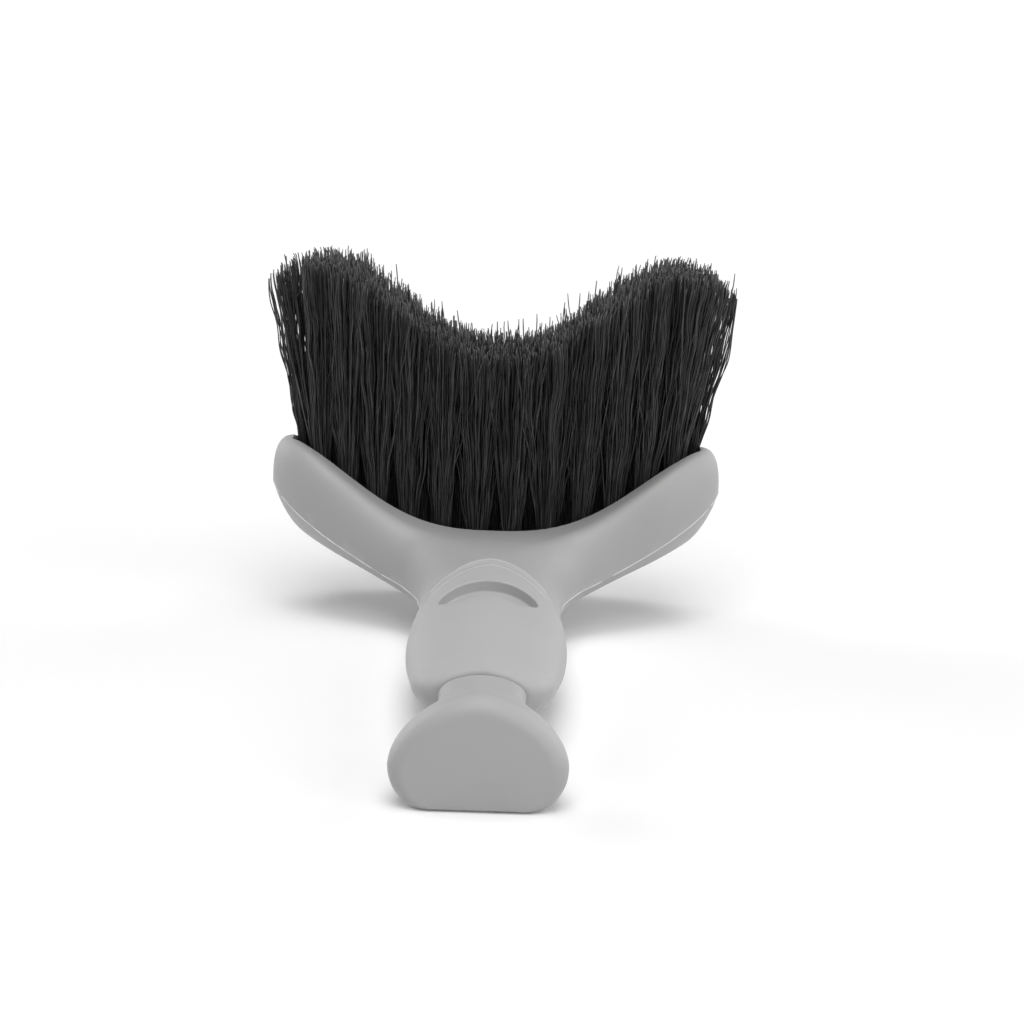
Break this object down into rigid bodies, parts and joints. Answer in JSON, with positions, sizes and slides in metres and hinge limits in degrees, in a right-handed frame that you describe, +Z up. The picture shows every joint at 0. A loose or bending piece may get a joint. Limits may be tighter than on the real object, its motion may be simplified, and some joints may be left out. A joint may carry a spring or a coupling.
{
  "type": "tire brush",
  "caption": "Handheld tire brush: horned head with bristle tufts trimmed to a valley that fits round a tire, on a short waisted handle with a soft grip and flared pommel.",
  "frame": {"origin": "on the flat underside that the brush lies on, midway along its length and on its middle line", "axes": "+Z up along the bristles, +Y along the handle from the pommel to the head, +X across the head"},
  "size_m": [0.1209, 0.182, 0.093],
  "materials": {
    "moulded_plastic": "satin moulded plastic",
    "soft_grip_rubber": "smooth soft grip rubber",
    "bristle": "black synthetic filaments"
  },
  "bodies": {
    "root": {"bristle_tuft_row1_01": "bristle", "bristle_tuft_row1_02": "bristle", "bristle_tuft_row1_03": "bristle", "bristle_tuft_row1_04": "bristle", "bristle_tuft_row1_05": "bristle", "bristle_tuft_row1_06": "bristle", "bristle_tuft_row1_07": "bristle", "bristle_tuft_row1_08": "bristle", "bristle_tuft_row1_09": "bristle", "bristle_tuft_row1_10": "bristle", "bristle_tuft_row1_11": "bristle", "bristle_tuft_row1_12": "bristle", "bristle_tuft_row2_01": "bristle", "bristle_tuft_row2_02": "bristle", "bristle_tuft_row2_03": "bristle", "bristle_tuft_row2_04": "bristle", "bristle_tuft_row2_05": "bristle", "bristle_tuft_row2_06": "bristle", "bristle_tuft_row2_07": "bristle", "bristle_tuft_row2_08": "bristle", "bristle_tuft_row2_09": "bristle", "bristle_tuft_row2_10": "bristle", "bristle_tuft_row2_11": "bristle", "bristle_tuft_row2_12": "bristle", "bristle_tuft_row2_13": "bristle", "bristle_tuft_row3_01": "bristle", "bristle_tuft_row3_02": "bristle", "bristle_tuft_row3_03": "bristle", "bristle_tuft_row3_04": "bristle", "bristle_tuft_row3_05": "bristle", "bristle_tuft_row3_06": "bristle", "bristle_tuft_row3_07": "bristle", "bristle_tuft_row3_08": "bristle", "bristle_tuft_row3_09": "bristle", "bristle_tuft_row3_10": "bristle", "bristle_tuft_row3_11": "bristle", "bristle_tuft_row3_12": "bristle", "bristle_tuft_row4_01": "bristle", "bristle_tuft_row4_02": "bristle", "bristle_tuft_row4_03": "bristle", "bristle_tuft_row4_04": "bristle", "bristle_tuft_row4_05": "bristle", "bristle_tuft_row4_06": "bristle", "bristle_tuft_row4_07": "bristle", "bristle_tuft_row4_08": "bristle", "bristle_tuft_row4_09": "bristle", "bristle_tuft_row4_10": "bristle", "bristle_tuft_row4_11": "bristle", "handle_and_head": "moulded_plastic", "soft_grip": "soft_grip_rubber"}
  },
  "joints": []
}
